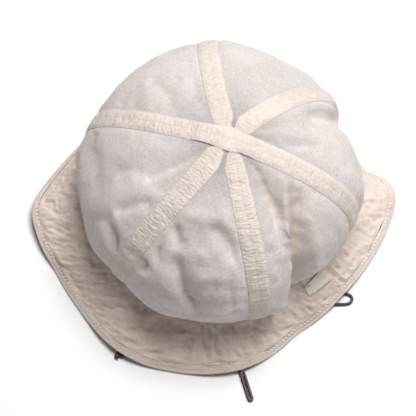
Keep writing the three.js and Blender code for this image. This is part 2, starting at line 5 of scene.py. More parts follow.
import bpy
import numpy as np
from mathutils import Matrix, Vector


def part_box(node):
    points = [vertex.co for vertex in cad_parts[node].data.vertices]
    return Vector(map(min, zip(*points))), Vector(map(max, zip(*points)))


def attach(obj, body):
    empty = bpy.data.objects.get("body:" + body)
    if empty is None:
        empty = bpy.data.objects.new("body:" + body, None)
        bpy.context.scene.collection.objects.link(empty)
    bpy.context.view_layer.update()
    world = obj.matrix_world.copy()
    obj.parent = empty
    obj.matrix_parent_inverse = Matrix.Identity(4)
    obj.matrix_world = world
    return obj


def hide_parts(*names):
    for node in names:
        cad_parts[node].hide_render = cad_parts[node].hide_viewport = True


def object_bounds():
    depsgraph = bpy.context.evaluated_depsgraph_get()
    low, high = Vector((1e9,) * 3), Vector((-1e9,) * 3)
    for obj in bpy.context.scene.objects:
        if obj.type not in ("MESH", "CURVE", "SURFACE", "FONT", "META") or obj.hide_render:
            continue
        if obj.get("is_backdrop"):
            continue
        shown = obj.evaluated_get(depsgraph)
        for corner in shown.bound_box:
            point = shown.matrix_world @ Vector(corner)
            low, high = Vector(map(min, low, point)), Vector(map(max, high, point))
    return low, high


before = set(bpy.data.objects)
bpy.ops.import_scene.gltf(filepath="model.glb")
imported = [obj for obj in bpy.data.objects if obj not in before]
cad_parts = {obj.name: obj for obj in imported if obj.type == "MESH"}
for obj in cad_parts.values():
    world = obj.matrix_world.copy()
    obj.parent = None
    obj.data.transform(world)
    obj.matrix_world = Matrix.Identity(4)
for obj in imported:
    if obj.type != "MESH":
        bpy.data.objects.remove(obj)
cad_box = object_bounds()

# The camera looks down on the hat from the front, 66 degrees above the surface and a little
# over a metre away, through a long lens, as the photograph does.
CAMERA_RISE = math.radians(66)
CAMERA_DISTANCE = 1.1
CAMERA_LENS = 134.4  # millimetres, as is the sensor's width
CAMERA_SENSOR = 36
CAMERA_AIM = Vector((-0.0047, -0.0183, 0.06))
backwards = Vector((0, -math.cos(CAMERA_RISE), math.sin(CAMERA_RISE)))
bpy.ops.object.camera_add(
    location=CAMERA_AIM + backwards * CAMERA_DISTANCE,
    rotation=(math.pi / 2 - CAMERA_RISE, 0, 0),
)
camera = bpy.context.object
camera.name = "camera"
camera.data.lens = CAMERA_LENS
camera.data.sensor_width = CAMERA_SENSOR
bpy.context.scene.camera = camera
bpy.context.scene.view_settings.view_transform = "Standard"


# The chin lace is a dark leather thong, one whole loop that lies loose under the hat: from
# inside the left of the crown to the knot at the front left, and from the knot by the pull and
# round a loop at the right to inside the right of the crown. Knot and pull are tied from it.
LACE_WIDTH = 0.0022
LACE_SIDES = 12
LACE_STEPS = 12  # between two points of its route
LAID = 0.0012  # the height of its line on the surface, which its routes leave out
LACE_LEFT_ROUTE = [
    (-0.0921, 0, 0.0374),
    (-0.0888, 0, 0.037),
    (-0.0866, -0.0004, 0.034),
    (-0.0862, -0.0012, 0.027),
    (-0.0854, -0.003, 0.016),
    (-0.083, -0.008, 0.0065),
    (-0.0795, -0.016, 0.002),
    (-0.076, -0.027),
    (-0.071, -0.048),
    (-0.0635, -0.07),
    (-0.0565, -0.088),
    (-0.0544, -0.0986),
    (-0.0574, -0.1058, 0.0014),
    (-0.0629, -0.1093, 0.0019),
]
LACE_RIGHT_ROUTE = [
    (-0.0615, -0.1121, 0.0019),
    (-0.0554, -0.109, 0.0014),
    (-0.048, -0.1016),
    (-0.0425, -0.09),
    (-0.037, -0.072),
    (-0.028, -0.052),
    (-0.012, -0.042),
    (0.0026, -0.05),
    (0.0088, -0.066),
    (0.0098, -0.088),
    (0.0102, -0.1068),
    (0.0116, -0.1132),
    (0.0152, -0.1154),
    (0.0188, -0.1132),
    (0.0204, -0.1068),
    (0.0234, -0.091),
    (0.036, -0.0786),
    (0.056, -0.0752),
    (0.078, -0.0744),
    (0.092, -0.0742),
    (0.0966, -0.074),
    (0.0996, -0.0727),
    (0.1007, -0.0701),
    (0.0996, -0.0674),
    (0.0964, -0.0661),
    (0.089, -0.0646),
    (0.0806, -0.059),
    (0.0764, -0.048),
    (0.0756, -0.032),
    (0.079, -0.017, 0.002),
    (0.084, -0.008, 0.0065),
    (0.0874, -0.003, 0.016),
    (0.0886, -0.0012, 0.027),
    (0.0892, -0.0004, 0.034),
    (0.0914, 0, 0.037),
    (0.094, 0, 0.0374),
]
KNOT_PLACE = np.array((-0.0682, -0.113, 0))
KNOT_AZIMUTH = math.radians(-151)
KNOT_LENGTH = 0.0096
KNOT_WIDTH = 0.0062
PULL_PLACE = np.array((0.0194, -0.1251, 0))
PULL_AZIMUTH = math.radians(-73)
PULL_LENGTH = 0.024
PULL_STEM = 0.0091
PULL_WIDTH = 0.005
LIFTED = 0.0001  # knot and pull stand clear of the surface

# All places here are in the hat's own frame, from which the part's is shifted as its knot is.
knot_low, knot_high = (np.array(corner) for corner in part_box("lace_knot"))
SHIFT = ((knot_low + knot_high) / 2 - KNOT_PLACE) * (1, 1, 0)


def add_node(tree, kind, settings=None, **entries):
    """Adds a material node. An entry is a number or colour, or the output that feeds it."""
    made = tree.nodes.new(kind)
    for name, value in (settings or {}).items():
        setattr(made, name, value)
    for name, value in entries.items():
        entry = made.inputs[int(name[1:])] if name[0] == "_" else made.inputs[name]
        if isinstance(value, bpy.types.NodeSocket):
            tree.links.new(value, entry)
        else:
            entry.default_value = value
    return made


def new_material(name, roughness, colour=(1, 1, 1)):
    """A plain material, its tree and its shader."""
    material = bpy.data.materials.new(name)
    material.use_nodes = True
    shader = material.node_tree.nodes["Principled BSDF"]
    shader.inputs["Roughness"].default_value = roughness
    shader.inputs["Base Color"].default_value = (*colour, 1)
    return material, material.node_tree, shader


def two_tones(tree, share, dark, light):
    """A colour that goes from dark to light. Each is the share where it is full, and its colour."""
    ramp = add_node(tree, "ShaderNodeValToRGB", Fac=share)
    for element, (position, colour) in zip(ramp.color_ramp.elements, (dark, light)):
        element.position = position
        element.color = (*colour, 1)
    return ramp.outputs["Color"]


def add_relief(tree, shader, height, distance, strength=1.0):
    """Gives a material the look of a relief. Its height is multiplied by a distance in metres."""
    bump = add_node(tree, "ShaderNodeBump", Height=height, Strength=strength, Distance=distance)
    tree.links.new(bump.outputs["Normal"], shader.inputs["Normal"])


def mesh_piece(name, points, faces):
    """A smooth-shaded mesh, with its place in its points."""
    mesh = bpy.data.meshes.new(name)
    mesh.from_pydata([tuple(point) for point in points], [], faces)
    piece = bpy.data.objects.new(name, mesh)
    bpy.context.scene.collection.objects.link(piece)
    mesh.polygons.foreach_set("use_smooth", [True] * len(mesh.polygons))
    return piece


def unit(ways):
    """Directions at length 1."""
    return ways / np.linalg.norm(ways, axis=-1)[..., None]


def glide(t, start, end, leave, arrive):
    """The smooth way from start to end as t goes from 0 to 1, with its slope at both."""
    return (
        start * (1 + 2 * t) * (1 - t) ** 2
        + end * t * t * (3 - 2 * t)
        + leave * t * (1 - t) ** 2
        - arrive * t * t * (1 - t)
    )


def lace_line(route):
    """The smooth line that a lace takes through the points of its route."""
    points = np.array([(*place, LAID)[:3] for place in route]) + SHIFT
    points = np.vstack([2 * points[0] - points[1], points, 2 * points[-1] - points[-2]])
    gaps = np.sqrt(np.linalg.norm(np.diff(points, axis=0), axis=1))
    t = np.arange(LACE_STEPS)[:, None] / LACE_STEPS
    line = []
    for i in range(1, len(points) - 2):
        a, b, c, d = points[i - 1 : i + 3]
        before, here, after = gaps[i - 1 : i + 2]
        leave = ((b - a) / before - (c - a) / (before + here) + (c - b) / here) * here
        arrive = ((c - b) / here - (d - b) / (here + after) + (d - c) / after) * here
        line.append(glide(t, b, c, leave, arrive))
    return np.vstack([*line, points[-2:-1]])


def thong(name, line, width, square=0.06, swell=None):
    """A leather thong along a line, cut a little square, with closed ends."""
    ahead = unit(np.gradient(line, axis=0))
    side = np.cross(ahead, (0, 0, 1.0))
    for i in range(len(line)):
        # where the line is steep, it keeps the side that it had
        if np.linalg.norm(side[i]) < 0.3:
            side[i] = side[i - 1] if i else np.cross(ahead[i], (0, 1.0, 0))
        elif i and side[i] @ side[i - 1] < 0:
            side[i] = -side[i]
        side[i] = unit(side[i] - ahead[i] * (side[i] @ ahead[i]))
    over = np.cross(side, ahead)
    turn = np.linspace(0, 2 * math.pi, LACE_SIDES, endpoint=False)
    reach = width / 2 * (1 - square * np.cos(4 * turn))
    size = np.ones(len(line)) if swell is None else np.array(swell)
    rings = line[:, None] + size[:, None, None] * (
        side[:, None] * (np.cos(turn) * reach)[None, :, None]
        + over[:, None] * (np.sin(turn) * reach)[None, :, None]
    )
    points = np.vstack([rings.reshape(-1, 3), line[:1], line[-1:]])
    first, last = len(points) - 2, len(points) - 1
    end = (len(line) - 1) * LACE_SIDES
    faces = []
    for j in range(LACE_SIDES):
        k = (j + 1) % LACE_SIDES
        for i in range(0, end, LACE_SIDES):
            faces.append((i + j, i + LACE_SIDES + j, i + LACE_SIDES + k, i + k))
        faces.append((first, j, k))
        faces.append((last, end + k, end + j))
    return mesh_piece(name, points, faces)


def pick(*pieces):
    """Selects pieces and no others, for the next operation."""
    bpy.ops.object.select_all(action="DESELECT")
    for piece in pieces:
        piece.select_set(True)
    bpy.context.view_layer.objects.active = pieces[0]


def join(name, pieces):
    """Joins pieces into one, under one name."""
    pick(*pieces)
    bpy.ops.object.join()
    pieces[0].name = name
    return pieces[0]


def finish(piece, material, slot, *solids):
    """Gives a piece its material, hangs it from the root body and hides the solids that it stands
    for. Its slot is not used.
    """
    piece.data.materials.clear()
    piece.data.materials.append(material)
    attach(piece, "root")
    if solids:
        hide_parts(*solids)


def laid_out(local, azimuth, place):
    """Points given along, across and over a piece of lace, laid in the piece's place."""
    along = np.array((math.cos(azimuth), math.sin(azimuth), 0))
    across = np.array((-math.sin(azimuth), math.cos(azimuth), 0))
    up = np.array((0, 0, 1.0))
    local = np.array(local)
    return place + SHIFT + local[:, :1] * along + local[:, 1:2] * across + local[:, 2:] * up


def line_length(line):
    return float(np.linalg.norm(np.diff(line, axis=0), axis=1).sum())


# near-black brown leather, with a reddish edge tone and a fine grain
leather, tree, shader = new_material("dark leather lace", 0.42)
places = add_node(tree, "ShaderNodeTexCoord").outputs["Object"]
grain = add_node(tree, "ShaderNodeTexNoise", Vector=places, Scale=900.0, Detail=4.0)
stain = add_node(tree, "ShaderNodeTexNoise", Vector=places, Scale=160.0, Detail=3.0)
browns = ((0.35, (0.012, 0.007, 0.007)), (0.75, (0.06, 0.028, 0.022)))
colour = two_tones(tree, stain.outputs["Fac"], *browns)
tree.links.new(colour, shader.inputs["Base Color"])
add_relief(tree, shader, grain.outputs["Fac"], 0.0002, 0.5)

left_line = lace_line(LACE_LEFT_ROUTE)
right_line = lace_line(LACE_RIGHT_ROUTE)
lace_left = thong("lace_left", left_line, LACE_WIDTH)
lace_right = thong("lace_right", right_line, LACE_WIDTH)

# The knot is the two strands wound into a small cone, whose round tip points out. It has a
# core that swells and narrows, and three wraps round it.
CORE_STEPS = 14
CORE_SWELL = [(0, 1.45), (0.25, 1.6), (0.7, 1.25), (0.93, 0.8), (1, 0.3)]  # along, size
WRAPS = [(-0.5, 0.35, 1.0), (-0.02, -0.3, 0.9), (0.42, 0.25, 0.72)]  # along, tilt, size
WRAP_WIDTH = LACE_WIDTH * 0.74
half_knot = KNOT_LENGTH / 2
knot_height = LIFTED + LACE_WIDTH * 0.95
core = [(half_knot * share, 0, knot_height) for share in np.linspace(-0.72, 0.86, CORE_STEPS)]
core_swell = np.interp(np.linspace(0, 1, CORE_STEPS), *zip(*CORE_SWELL))
core_line = laid_out(core, KNOT_AZIMUTH, KNOT_PLACE)
knot_parts = [thong("knot_core", core_line, LACE_WIDTH, swell=core_swell)]
for at, tilt, size in WRAPS:
    turn = np.linspace(0, 2 * math.pi, 33)
    reach = (KNOT_WIDTH - LACE_WIDTH * 0.8) / 2 * size
    rise = (knot_height * 2 - LACE_WIDTH * 0.8) / 2 * size
    wrap = [
        half_knot * at + tilt * reach * np.cos(turn),
        reach * np.cos(turn),
        knot_height + rise * np.sin(turn) * 0.95,
    ]
    wrap_line = laid_out(np.stack(wrap, axis=1), KNOT_AZIMUTH, KNOT_PLACE)
    knot_parts.append(thong("knot_wrap", wrap_line, WRAP_WIDTH))
knot = join("knot", knot_parts)

# The pull is the lace doubled back on itself, with a short stem to the loop that it hangs
# from. The end of its second strand is cut thin.
strand = PULL_WIDTH / 4
pull_height = LIFTED + LACE_WIDTH / 2
bend = np.linspace(-math.pi / 2, math.pi / 2, 9)[1:-1]
going = [(s, -strand, pull_height) for s in np.linspace(-PULL_STEM, PULL_LENGTH - strand * 2, 24)]
rounding = [
    (PULL_LENGTH - strand * 2.1 + strand * 1.1 * math.cos(b), strand * math.sin(b), pull_height)
    for b in bend
]
returning = [(s, strand, pull_height) for s in np.linspace(PULL_LENGTH - strand * 2, 0.0006, 18)]
pull_line = laid_out(going + rounding + returning, PULL_AZIMUTH, PULL_PLACE)
pull_swell = np.ones(len(pull_line))
pull_swell[-3:] = (0.92, 0.75, 0.4)
pull = thong("pull", pull_line, LACE_WIDTH, square=0.12, swell=pull_swell)

finish(lace_left, leather, "lace_leather", "chin_lace_left")
finish(lace_right, leather, "lace_leather", "chin_lace_right")
finish(knot, leather, "lace_leather", "lace_knot")
finish(pull, leather, "lace_leather", "lace_pull")


# The crown is six gores of washed cotton, cut round and slumped a little to the right. Azimuths
# are degrees from +X, and along is 0 at the crossing of the tapes and 1 at the seam with the
# brim. Its form comes from a profile, a plan and folds, and small creases come on top.
HEAD_RADIUS = 0.584 / (2 * math.pi)
CROWN_RISE = 0.098
SEAM_HEIGHT = 0.032
LEAN_RIGHT = 0.01
LEAN_BACK = -0.004
PANEL_PUFF = 0.0032
CROWN_CLOTH = 0.0012
TAPE_WIDTH = 0.015
GAP = 0.0003
PANEL_TIP = 0.0034  # from a panel's tip to the crossing
PANEL_ROWS = 150
PANEL_COLUMNS = 96
MOST_TAPED = 0.48  # half a tape covers no more than this share of a panel's width
# along, reach, height
CROWN_PROFILE = [
    (0, 0, 1),
    (0.1, 0.2, 0.985),
    (0.2, 0.4, 0.94),
    (0.32, 0.63, 0.855),
    (0.45, 0.85, 0.71),
    (0.58, 0.985, 0.54),
    (0.7, 1.04, 0.37),
    (0.82, 1.055, 0.21),
    (0.92, 1.045, 0.08),
    (1, 1, 0),
]
# azimuth, seam, belly, height
CROWN_PLAN = [
    (-180, 0.98, 0.99, 1),
    (-165, 0.97, 0.965, 0.97),
    (-150, 0.98, 0.995, 0.95),
    (-130, 0.985, 0.995, 0.95),
    (-112, 1, 1.045, 0.95),
    (-97, 1, 1.03, 0.95),
    (-80, 1.01, 1.07, 0.95),
    (-67, 1.01, 1.075, 1),
    (-56, 0.95, 0.93, 1.08),
    (-40, 0.965, 0.985, 1.08),
    (-26, 0.99, 1.03, 1.05),
    (-10, 1.01, 1.06, 1),
    (2, 1.01, 1.02, 1),
    (12, 0.99, 0.985, 1.02),
    (21, 0.99, 0.96, 1.04),
    (32, 0.99, 1.045, 1.05),
    (45, 0.98, 1.02, 1.08),
    (60, 0.98, 0.99, 1.1),
    (77, 0.985, 1.03, 1.1),
    (90, 0.99, 1.08, 1.12),
    (120, 0.98, 1.015, 1.1),
    (150, 0.98, 1.015, 1.05),
    (165, 0.98, 1.03, 1.02),
]
# name, azimuth at the top, azimuth at the foot
SEAMS = [
    ("front_left", -125, -137),
    ("front", -76, -73),
    ("front_right", -21, -18),
    ("right", 43, 27),
    ("back", 103, 88),
    ("left", 164, 154),
]
# azimuth, along, to azimuth, to along, width and depth as shares of the rise
CROWN_FOLDS = [
    (-25, 0.22, -44, 0.33, 0.05, 0.03),
    (-44, 0.33, -60, 0.5, 0.055, 0.038),
    (-60, 0.5, -66, 0.9, 0.06, 0.04),
    (-37, 0.33, -46, 0.45, 0.06, -0.05),
    (-46, 0.45, -56, 0.86, 0.075, -0.06),
    (-42, 0.44, -44, 0.74, 0.045, 0.022),
    (-35, 0.33, -28, 0.31, 0.04, 0.02),
    (-40, 0.12, -50, 0.24, 0.035, -0.03),
    (-50, 0.24, -54, 0.38, 0.05, -0.045),
    (23, 0.14, 13, 0.34, 0.05, -0.03),
    (22, 0.4, 23, 0.6, 0.06, -0.05),
    (-4, 0.22, 0, 0.34, 0.04, -0.02),
    (-147, 0.12, -154, 0.3, 0.045, -0.022),
    (-149, 0.46, -142, 0.36, 0.04, -0.02),
    (-146, 0.56, -139, 0.62, 0.05, -0.03),
    (-132, 0.57, -124, 0.57, 0.05, -0.03),
    (-122, 0.35, -113, 0.39, 0.05, -0.025),
    (-94, 0.33, -84, 0.4, 0.06, -0.03),
    (-118, 0.31, -92, 0.29, 0.07, 0.025),
    (-110, 0.48, -100, 0.66, 0.08, -0.04),
    (-98, 0.5, -90, 0.5, 0.06, 0.02),
    (-118, 0.72, -96, 0.79, 0.05, 0.02),
    (-96, 0.79, -78, 0.64, 0.05, 0.02),
    (-67, 0.42, -67, 0.72, 0.035, -0.02),
    (172, 0.58, -168, 0.52, 0.14, -0.035),
    (132, 0.38, 138, 0.26, 0.05, -0.012),
    (113, 0.28, 121, 0.13, 0.05, -0.015),
]
# The same, for creases that are too small for the solids. They fade out towards their ends.
CROWN_CREASES = [
    (-24, 0.2, -44, 0.31, 0.024, 0.025),
    (-44, 0.31, -58, 0.46, 0.026, 0.034),
    (-58, 0.46, -65, 0.9, 0.026, 0.036),
    (-28, 0.26, -42, 0.36, 0.045, -0.02),
    (-42, 0.36, -54, 0.56, 0.05, -0.034),
    (-54, 0.56, -59, 0.94, 0.05, -0.036),
    (-40, 0.42, -44, 0.8, 0.02, 0.018),
    (-56, 0.14, -58, 0.42, 0.03, -0.024),
    (-44, 0.12, -53, 0.36, 0.026, -0.03),
    (-97, 0.1, -84, 0.2, 0.02, -0.012),
    (-106, 0.12, -120, 0.28, 0.03, -0.014),
    (-150, 0.14, -153, 0.3, 0.03, -0.012),
    (-178, 0.09, 166, 0.34, 0.03, -0.014),
    (-168, 0.2, -178, 0.44, 0.05, 0.008),
    (-158, 0.3, -172, 0.46, 0.04, -0.01),
    (-148, 0.34, -152, 0.6, 0.04, -0.012),
    (-150, 0.52, -158, 0.7, 0.05, -0.022),
    (-144, 0.54, -136, 0.68, 0.03, -0.024),
    (-135, 0.68, -122, 0.58, 0.035, -0.026),
    (-126, 0.42, -118, 0.52, 0.04, -0.018),
    (-104, 0.4, -96, 0.44, 0.04, 0.012),
    (-110, 0.46, -104, 0.62, 0.035, -0.026),
    (-104, 0.62, -96, 0.78, 0.035, -0.024),
    (-86, 0.52, -83, 0.72, 0.035, -0.014),
    (-116, 0.84, -84, 0.84, 0.03, 0.012),
    (-72, 0.6, -68, 0.84, 0.03, -0.012),
    (150, 0.3, 158, 0.2, 0.04, -0.005),
    (133, 0.4, 136, 0.26, 0.045, -0.006),
    (121, 0.34, 122, 0.16, 0.035, -0.006),
    (110, 0.28, 115, 0.12, 0.03, -0.008),
    (80, 0.4, 62, 0.2, 0.04, -0.008),
    (62, 0.46, 48, 0.38, 0.04, 0.008),
    (26, 0.12, 12, 0.36, 0.03, -0.012),
    (-2, 0.2, 2, 0.36, 0.03, -0.01),
    (-8, 0.4, -2, 0.6, 0.04, -0.01),
    (-34, 0.5, -30, 0.72, 0.05, -0.01),
]
# The same, for a tan painted shade down the valley of the long fold, and round the crossing of
# the tapes where they overlap. Here depth is the strength of the tint.
CROWN_SHADE_TINTS = [
    (-28, 0.24, -42, 0.36, 0.05, 0.6),
    (-42, 0.36, -53, 0.58, 0.06, 0.9),
    (-53, 0.58, -58, 0.94, 0.07, 0.8),
    (-46, 0.14, -53, 0.34, 0.035, 0.4),
    (-100, 0.03, 70, 0.05, 0.1, 0.3),
]


def curve_through(table, column, turn=0):
    """A smooth curve through a column of a table, closed on itself where it has a turn."""
    keys = np.array([row[0] for row in table], float)
    values = np.array([row[column] for row in table], float)
    first = keys[0]
    if turn:
        keys = np.concatenate([keys[-2:] - turn, keys, keys[:2] + turn])
        values = np.concatenate([values[-2:], values, values[:2]])
    slopes = np.empty_like(values)
    slopes[1:-1] = (values[2:] - values[:-2]) / (keys[2:] - keys[:-2])
    slopes[[0, -1]] = (np.diff(values) / np.diff(keys))[[0, -1]]

    def curve(value):
        x = first + (value - first) % turn if turn else np.clip(value, keys[0], keys[-1])
        i = np.clip(np.searchsorted(keys, x, side="right") - 1, 0, len(keys) - 2)
        span = keys[i + 1] - keys[i]
        t = (x - keys[i]) / span
        return glide(t, values[i], values[i + 1], span * slopes[i], span * slopes[i + 1])

    return curve


profile_reach = curve_through(CROWN_PROFILE, 1)
profile_height = curve_through(CROWN_PROFILE, 2)
seam_reach = curve_through(CROWN_PLAN, 1, 360)
belly_reach = curve_through(CROWN_PLAN, 2, 360)
seam_lift = curve_through(CROWN_PLAN, 3, 360)


def ease(share):
    share = np.clip(share, 0, 1)
    return share * share * (3 - 2 * share)


def plain_crown(azimuth, along):
    """The crown without its puff, folds and creases."""
    plan = seam_reach(azimuth)
    plan = plan + (belly_reach(azimuth) - plan) * ease((1 - along) / 0.2)
    radius = HEAD_RADIUS * plan * profile_reach(along)
    slump = (1 - along) ** 1.3
    height = profile_height(along)
    drop = 1 + (seam_lift(azimuth) - 1) * np.clip(1 - height, 0, 1) ** 1.5
    turn = np.radians(azimuth)
    x = LEAN_RIGHT * slump + radius * np.cos(turn)
    y = LEAN_BACK * slump + radius * np.sin(turn)
    return np.stack([x, y, SEAM_HEIGHT * drop + CROWN_RISE * height], axis=-1)


def ring_place(turn, radius, height):
    """A place from its turn about the middle in radians, its distance from it and its height."""
    return np.stack([radius * np.cos(turn), radius * np.sin(turn), height], axis=-1)


meridian = line_length(plain_crown(np.zeros(200), np.linspace(0, 1, 200)))


def outward(surface, azimuth, along):
    """The outward direction of a surface of the crown."""
    along = np.maximum(along, 0.004)
    low = np.maximum(along - 0.01, 0.002)
    high = np.minimum(along + 0.01, 1)
    around = surface(azimuth + 1, along) - surface(azimuth - 1, along)
    down = surface(azimuth, high) - surface(azimuth, low)
    return unit(np.cross(down, around))


def turn_for(azimuth, along, width):
    """The turn in degrees that is some width round the crown."""
    here = plain_crown(azimuth, along)
    centre = (here + plain_crown(azimuth + 180, along)) / 2
    return np.degrees(np.arctan2(width, np.linalg.norm(here - centre, axis=-1)))


def seam_azimuth(number, along):
    _, top, foot = SEAMS[number % len(SEAMS)]
    return top + (foot - top) * along


def panel_sides(number, along):
    """A panel's two seams, the second one turned past the first."""
    start, end = (seam_azimuth(side, along) for side in (number, number + 1))
    return start, np.where(end > start, end, end + 360)


def across_panel(azimuth, along):
    """How far across its panel a place lies, and the share of the panel under half a tape."""
    half_tape = turn_for(azimuth, along, TAPE_WIDTH / 2)
    share = np.zeros(np.shape(half_tape))
    taped = np.full(np.shape(half_tape), MOST_TAPED)
    for number in range(len(SEAMS)):
        start, end = panel_sides(number, along)
        turned = (azimuth - start) % 360
        inside = turned <= end - start
        share = np.where(inside, turned / (end - start), share)
        taped = np.where(inside, np.minimum(half_tape / (end - start), MOST_TAPED), taped)
    return share, taped


def fold_lines(folds, surface, size):
    """Chains of straight folds. A fold that starts where the last one ends goes on from it."""
    chains = []
    last = None
    for azimuth, along, to_azimuth, to_along, width, depth in folds:
        ends = surface(np.array([azimuth, to_azimuth], float), np.array([along, to_along]))
        if (azimuth, along) != last:
            chains.append([])
        chains[-1].append((ends[0], ends[1] - ends[0], width * size, depth * size))
        last = (to_azimuth, to_along)
    return chains


def fold_push(place, chains, fading=0.0):
    """How far folds push the cloth out, at places on the plain surface. Some fade to their ends."""
    push = np.zeros(place.shape[:-1])
    for chain in chains:
        length = sum(np.linalg.norm(run) for start, run, width, depth in chain)
        gone = 0
        total, weight = 0, 1e-9
        for start, run, width, depth in chain:
            share = np.clip((place - start) @ run / (run @ run), 0, 1)
            apart = np.linalg.norm(place - start - share[..., None] * run, axis=-1)
            nearness = np.exp(-((apart / width) ** 2))
            at = (gone + share * np.linalg.norm(run)) / length
            total += depth * (1 - fading * (2 * at - 1) ** 2) * nearness**2
            weight += nearness
            gone += np.linalg.norm(run)
        push += total / weight
    return push


main_folds = fold_lines(CROWN_FOLDS, plain_crown, CROWN_RISE)
small_creases = fold_lines(CROWN_CREASES, plain_crown, CROWN_RISE)
tan_stains = fold_lines(CROWN_SHADE_TINTS, plain_crown, CROWN_RISE)


def crown(azimuth, along):
    """The outer face of the crown's cloth, with its puff and folds. Tapes hold folds flatter."""
    place = plain_crown(azimuth, along)
    share, taped = across_panel(azimuth, along)
    free = 1 - 2 * taped
    swell = np.sin(np.pi * np.clip((share - taped) / free, 0, 1)) ** 0.8
    room = np.clip(free / 0.8, 0, 1) ** 2
    loose = ease((np.minimum(share, 1 - share) - taped) / taped)
    push = PANEL_PUFF * swell * room + (0.3 + 0.7 * loose) * fold_push(place, main_folds)
    held = np.clip((1 - along) / 0.12, 0, 1)
    return place + outward(plain_crown, azimuth, along) * (push * held)[..., None]


def bumps(places, size, seed):
    """Smooth random bumps between -1 and 1, about a size apart."""
    grain = 24
    lattice = np.random.default_rng(seed).uniform(-1, 1, (grain, grain, grain))
    place = places / size
    base = np.floor(place).astype(int)
    part = ease(place - base)
    total = np.zeros(places.shape[:-1])
    for corner in np.ndindex(2, 2, 2):
        weight = np.prod(np.where(np.array(corner, bool), part, 1 - part), axis=-1)
        i, j, k = np.moveaxis((base + corner) % grain, -1, 0)
        total += weight * lattice[i, j, k]
    return total


def layered(places, layers, number=0):
    """Bumps on bumps. A layer is its depth, size and seed. A number gives a piece its own."""
    return sum(depth * bumps(places, size, seed + number) for depth, size, seed in layers)


def cloth_grid(name, points, size, **shades):
    """A sheet from rows of points, with its texture coordinates in metres of cloth."""
    rows, columns = points.shape[:2]
    bpy.ops.mesh.primitive_grid_add(x_subdivisions=columns - 1, y_subdivisions=rows - 1)
    piece = bpy.context.object
    piece.name = name
    piece.data.name = name
    piece.data.vertices.foreach_set("co", (points + SHIFT).astype(np.float32).ravel())
    layer = piece.data.uv_layers.active
    spread = np.empty(len(layer.data) * 2, np.float32)
    layer.data.foreach_get("uv", spread)
    layer.data.foreach_set("uv", (spread.reshape(-1, 2) * size).astype(np.float32).ravel())
    for shade, values in shades.items():
        attribute = piece.data.attributes.new(shade, "FLOAT", "POINT")
        attribute.data.foreach_set("value", values.astype(np.float32).ravel())
    piece.data.update()
    return piece


def merge_doubles(piece, outwards=False):
    """Sews a sheet's ends together where they meet, and closes a tube's ends."""
    pick(piece)
    bpy.ops.object.mode_set(mode="EDIT")
    bpy.ops.mesh.select_all(action="SELECT")
    bpy.ops.mesh.remove_doubles(threshold=0.000005)
    if outwards:
        bpy.ops.mesh.fill_holes(sides=0)
        bpy.ops.mesh.normals_make_consistent(inside=False)
    bpy.ops.object.mode_set(mode="OBJECT")
    piece.data.polygons.foreach_set("use_smooth", [True] * len(piece.data.polygons))


def thicken(piece, thickness):
    """Gives a sheet its thickness on the inner side."""
    pick(piece)
    solid = piece.modifiers.new("cloth", "SOLIDIFY")
    solid.thickness = thickness
    solid.offset = -1
    bpy.ops.object.modifier_apply(modifier=solid.name)
    bpy.ops.object.shade_smooth_by_angle(angle=math.radians(60))


def hollows(height, reach, full):
    """How deep each place of a sheet lies below those around it, from -1 to 1."""
    around = height
    steps = range(-reach, reach + 1)
    for axis in (0, 1):
        around = sum(np.roll(around, step, axis) for step in steps) / len(steps)
    return np.clip((around - height) / full, -1, 1)


SHADE_TAN = (0.7, 0.585, 0.47)  # the tan of the painted shade in some folds
BLOTCHES = 24.0  # scales of noise, in cycles in a metre
SPECKS = 620.0
NAP = 300.0
RIBS = (190, 760, 1)


